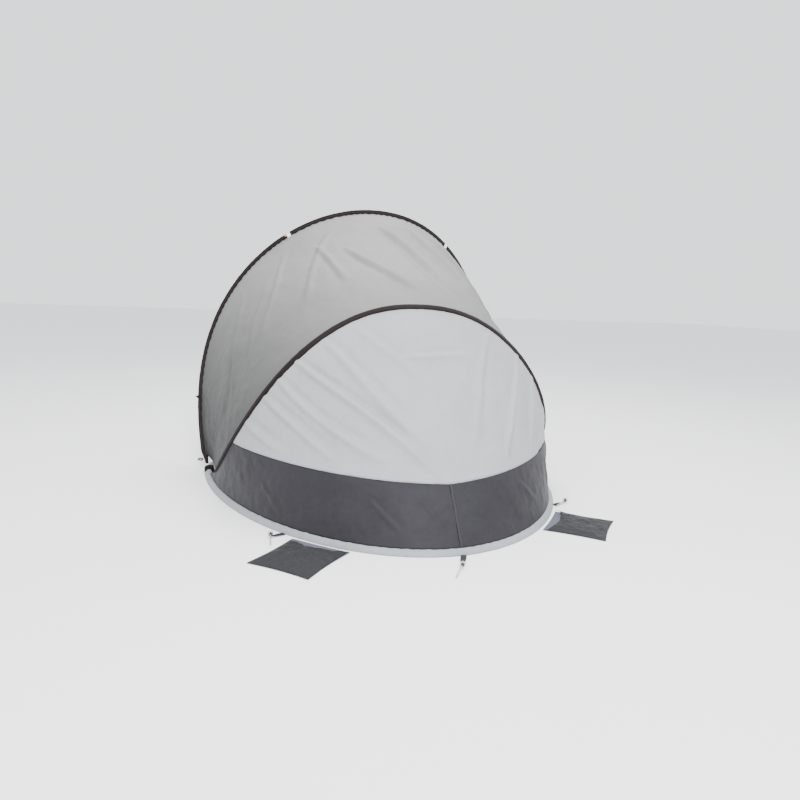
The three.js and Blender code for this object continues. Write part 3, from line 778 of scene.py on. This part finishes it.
def soften(node, name, material, body, seed, bevel):
    """A cloth piece made from the frame's own solid: rounded, subdivided and crumpled."""
    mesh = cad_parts[node].data.copy()
    mesh.name = name
    solid = bmesh.new()
    solid.from_mesh(mesh)
    bmesh.ops.dissolve_limit(solid, angle_limit=math.radians(3), verts=solid.verts, edges=solid.edges)
    bmesh.ops.bevel(solid, geom=solid.edges[:], offset=bevel, segments=2, affect="EDGES",
                    clamp_overlap=True)
    bmesh.ops.triangulate(solid, faces=solid.faces[:])
    for _ in range(TRIM_CUTS):
        long_edges = [e for e in solid.edges if e.calc_length() > TRIM_EDGE]
        if not long_edges:
            break
        bmesh.ops.subdivide_edges(solid, edges=long_edges, cuts=1, use_grid_fill=False)
        bmesh.ops.triangulate(solid, faces=solid.faces[:])
    solid.normal_update()
    points = np.array([v.co for v in solid.verts])
    normals = np.array([v.normal for v in solid.verts])
    moved = points + normals * (TRIM_CRUMPLE * ripple(points, TRIM_GRAIN, seed))[:, None]
    moved[:, 2] = np.maximum(moved[:, 2], min(points[:, 2].min(), 0.0003))
    faces = [tuple(v.index for v in f.verts) for f in solid.faces]
    solid.free()
    uv = np.stack([points[:, 0] + points[:, 2], points[:, 1] + points[:, 2]], -1)
    piece = new_object(name, moved, faces, material, uv, uv * 0 + 1)
    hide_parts(node)
    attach(piece, body)


def make_trims():
    for name in ("left", "right"):
        soften(f"tie_tab_{name}", f"tie_flap_{name}", SLEEVE, "front_hoop",
               seed=131.0, bevel=0.0005)
        soften(f"side_loop_{name}", f"corner_loop_{name}", WEBBING, "front_hoop",
               seed=133.0, bevel=0.0003)


# ---- pegs ----
def make_pegs():
    for number, (name, share) in enumerate(PEG_PLACES):
        make_peg_loop(name, share, 141.0 + number)
        paint_node(f"peg_shaft_{name}", STEEL)
        make_peg_head(name)


def peg_axis(name):
    """The middle of a peg's head and the way its shaft runs."""
    low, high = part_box(f"peg_head_{name}")
    shaft_low, shaft_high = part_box(f"peg_shaft_{name}")
    centre = (low + high) / 2
    return centre, ((shaft_low + shaft_high) / 2 - centre).normalized()


def make_peg_loop(name, share, seed):
    """Webbing from the floor edge, laid along the ground and turned once round the peg's neck."""
    centre, aim = peg_axis(name)
    neck_distance, neck_radius, wide_half, narrow_half = 0.0072, 0.0040, 0.0090, 0.0030
    edge = hem_line(np.array([share - STEP, share, share + STEP]), 0.0)
    out = np.cross(unit(edge[2] - edge[0]), [0, 0, 1.0])
    root = edge[1] + out * (SKIRT_EDGE + 0.0010) + np.array([0, 0, 0.0020])
    neck = np.array(centre + aim * neck_distance)
    run = unit(np.array([aim.x, aim.y, 0.0]))
    side = np.cross([0, 0, 1.0], run)
    turns = np.linspace(-0.5 * math.pi, 1.35 * math.pi, 36)
    ring = neck + neck_radius * (np.cos(turns)[:, None] * side + np.sin(turns)[:, None] * [0, 0, 1.0])
    low = ring[0] + np.array([0, 0, -0.0015])
    way = low - root
    t = np.linspace(0, 1, 26)[:, None]
    sag = np.sin(t * math.pi) * np.array([0, 0, 0.0016])
    lay = root + way * t + sag
    lay[:, 2:] = root[2] + (low[2] - root[2]) * t ** 3 + sag[:, 2:]
    path = np.concatenate([lay, ring])
    across_way = unit(np.cross([0, 0, 1.0], way))
    if np.dot(across_way, run) < 0:
        across_way = -across_way
    turn = smooth(np.linspace(0, 1, len(path)), 0.1, 0.42)[:, None]
    across = unit(across_way * (1 - turn) + run * turn)
    half = (wide_half * (1 - turn) + narrow_half * turn)[:, 0]
    columns = np.linspace(-1, 1, 13)
    grid = path[:, None] + across[:, None] * (half[:, None] * columns[None])[..., None]
    crumpled = 0.0011 * ripple(grid, 0.011, seed) * (1 - 0.6 * turn)
    grid = grid + grid_normals(grid) * crumpled[..., None]
    grid[..., 2] = np.maximum(grid[..., 2], 0.0014)
    cloth_panel(f"peg_webbing_{name}", grid, WEBBING, [f"peg_loop_{name}"], "v", 0.0016)
    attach(bpy.data.objects[f"peg_webbing_{name}"], f"loop_{name}")


def make_peg_head(name):
    """A dished steel disc with a rolled rim and a domed middle, where the frame has the head."""
    centre, aim = peg_axis(name)
    radius, half = 0.0089, 0.0014
    profile = [(0.0, 0.0010), (0.0014, 0.0011), (0.0026, 0.0006), (0.0040, 0.0000),
               (0.0062, -0.0001), (0.0078, 0.0007), (0.0086, 0.0013), (radius, 0.0006),
               (radius, -0.0006), (0.0084, -half), (0.0060, -half), (0.0030, -half), (0.0, -half)]
    sides = 40
    verts = []
    for r, h in profile:
        for k in range(sides):
            turn = 2 * math.pi * k / sides
            verts.append(Vector((r * math.cos(turn), r * math.sin(turn), -h)))
    faces = grid_faces(len(profile), sides, closed=True)
    rotation = aim.to_track_quat("Z", "Y").to_matrix()
    points = [rotation @ p + centre for p in verts]
    disc = new_object(f"peg_disc_{name}", points, faces, STEEL)
    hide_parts(f"peg_head_{name}")
    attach(disc, f"peg_{name}")


# ---- sand pockets ----
def make_pockets():
    for number, (name, share) in enumerate(POCKET_PLACES):
        make_pocket(name, share, 151.0 + number)


def make_pocket(name, share, seed):
    """A flat empty bag: two plies sewn on three sides, its mouth sagging open by the floor edge."""
    edge = hem_line(np.array([share - STEP, share, share + STEP]), 0.0)
    along = unit(edge[2] - edge[0])
    out = np.cross(along, [0, 0, 1.0])
    place = edge[1] + out * (SKIRT_EDGE + POCKET_STAND)

    def spot(x, y, z):
        return place + out * x + along * y + np.array([0, 0, 1.0]) * z

    rows, columns = 70, 70
    upper, lower = np.zeros((rows, columns, 3)), np.zeros((rows, columns, 3))
    for i in range(rows):
        t = i / (rows - 1)
        for j in range(columns):
            w = 2 * j / (columns - 1) - 1
            pull = 0.006 * (1 - w * w) * t - 0.004 * (1 - w * w) * (1 - t)
            half = POCKET_WIDTH / 2 * (1 - 0.05 * math.sin(math.pi * t))
            x = POCKET_LENGTH * t - pull
            bulge = max(0.0, (1 - abs(w) ** 5) * (1 - t ** 7))
            open_lip = math.exp(-(t / 0.16) ** 2) * (1 - w * w)
            curl = 0.018 * smooth(np.array(w), 0.55, 1.0) * (1 - smooth(np.array(t), 0.0, 0.3))
            lower[i, j] = spot(x, w * half, POCKET_FLOOR + 0.0006 * bulge)
            top = POCKET_BASE + POCKET_BULGE * bulge * (1 - 0.55 * open_lip)
            lip = POCKET_MOUTH * (0.2 + 0.8 * (1 - w * w) ** 0.5)
            upper[i, j] = spot(max(x, lip), w * half, top + float(curl) * 0.25)
    bumps = 0.0045 * ripple(upper, 0.05, seed) + 0.0020 * ripple(upper, 0.02, seed + 3)
    rows_level = np.linspace(0, 1, rows)[:, None]
    across = np.linspace(-1, 1, columns)[None]
    keep = np.clip(1 - np.abs(across) ** 8, 0, 1) * np.clip(1 - rows_level ** 10, 0, 1)
    upper[..., 2] = np.clip(upper[..., 2] + bumps * keep, POCKET_BASE, POCKET_LIMIT)
    for part, grid, material in (("top", upper, POCKET), ("lining", lower, LINING)):
        u, v = grid_lengths(grid)
        nearest = np.minimum.reduce([v, v[:, -1:] - v, u[-1:] - u])
        uv = np.stack([u, v], -1).reshape(-1, 2)
        sewn = np.stack([u + v, nearest], -1).reshape(-1, 2)
        faces = grid_faces(rows, columns)
        ply = new_object(f"pocket_{part}_{name}", grid.reshape(-1, 3), faces, material, uv, sewn)
        thicken(ply, 0.0012)
        if part == "top":
            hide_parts(f"sand_pocket_{name}")
        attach(ply, f"pocket_{name}")


# ---- studio ----
def make_studio():
    mesh = bpy.data.meshes.new("studio_floor")
    size = 30
    corners = [(-size, -size, 0), (size, -size, 0), (size, size, 0), (-size, size, 0)]
    mesh.from_pydata(corners, [], [(0, 1, 2, 3)])
    floor = bpy.data.objects.new("studio_floor", mesh)
    floor.location.z = -0.0006
    bpy.context.collection.objects.link(floor)
    mesh.materials.append(FLOOR)
    shader = FLOOR.node_tree.nodes["Principled BSDF"]
    shader.inputs["Base Color"].default_value = (0.86, 0.86, 0.87, 1)
    shader.inputs["Roughness"].default_value = 0.9

    world = bpy.data.worlds.new("studio")
    bpy.context.scene.world = world
    world.use_nodes = True
    world.node_tree.nodes["Background"].inputs["Color"].default_value = (0.95, 0.97, 1.0, 1)
    world.node_tree.nodes["Background"].inputs["Strength"].default_value = 1.75
    lamps = [
        ("key", (0.4, 4.0, 3.4), 1.5, 330),
        ("top", (-0.4, -0.4, 4.0), 2.2, 170),
        ("fill", (3.4, 3.2, 1.8), 2.5, 20),
    ]
    aim = Vector((0, 0.3, 0.4))
    for name, place, side, power in lamps:
        data = bpy.data.lights.new(name, "AREA")
        data.size = side
        data.energy = power
        lamp = bpy.data.objects.new(name, data)
        lamp.location = place
        lamp.rotation_euler = (aim - Vector(place)).to_track_quat("-Z", "Y").to_euler()
        bpy.context.collection.objects.link(lamp)


def make_camera():
    azimuth, elevation, roll = (math.radians(a) for a in (CAMERA_AZIMUTH, CAMERA_ELEVATION, CAMERA_ROLL))
    back = Vector((math.sin(azimuth) * math.cos(elevation), math.cos(azimuth) * math.cos(elevation),
                   math.sin(elevation)))
    level_right = (-back).cross(Vector((0, 0, 1))).normalized()
    level_up = level_right.cross(-back)
    right = level_right * math.cos(roll) + level_up * math.sin(roll)
    up = -level_right * math.sin(roll) + level_up * math.cos(roll)
    data = bpy.data.cameras.new("camera")
    data.lens = CAMERA_LENS
    data.sensor_width = 36
    data.shift_x, data.shift_y = CAMERA_SHIFT
    data.dof.use_dof = False
    camera = bpy.data.objects.new("camera", data)
    turn = Matrix((right, up, back)).transposed().to_4x4()
    camera.matrix_world = Matrix.Translation(CAMERA_PLACE) @ turn
    bpy.context.collection.objects.link(camera)
    bpy.context.scene.camera = camera


make_camera()
make_studio()
make_canopy()
make_rear_panel()
make_bands()
make_seam_tape()
make_sleeves()
make_skirt()
make_groundsheet()
make_corners()
make_straps()
make_knot()
make_trims()
make_pegs()
make_pockets()
for node in ("rear_floor_rod", "front_floor_rod", "rear_arch_rod", "front_arch_rod"):
    paint_node(node, ROD)
for node in ("rear_ferrule", "front_ferrule"):
    paint_node(node, CRIMP)
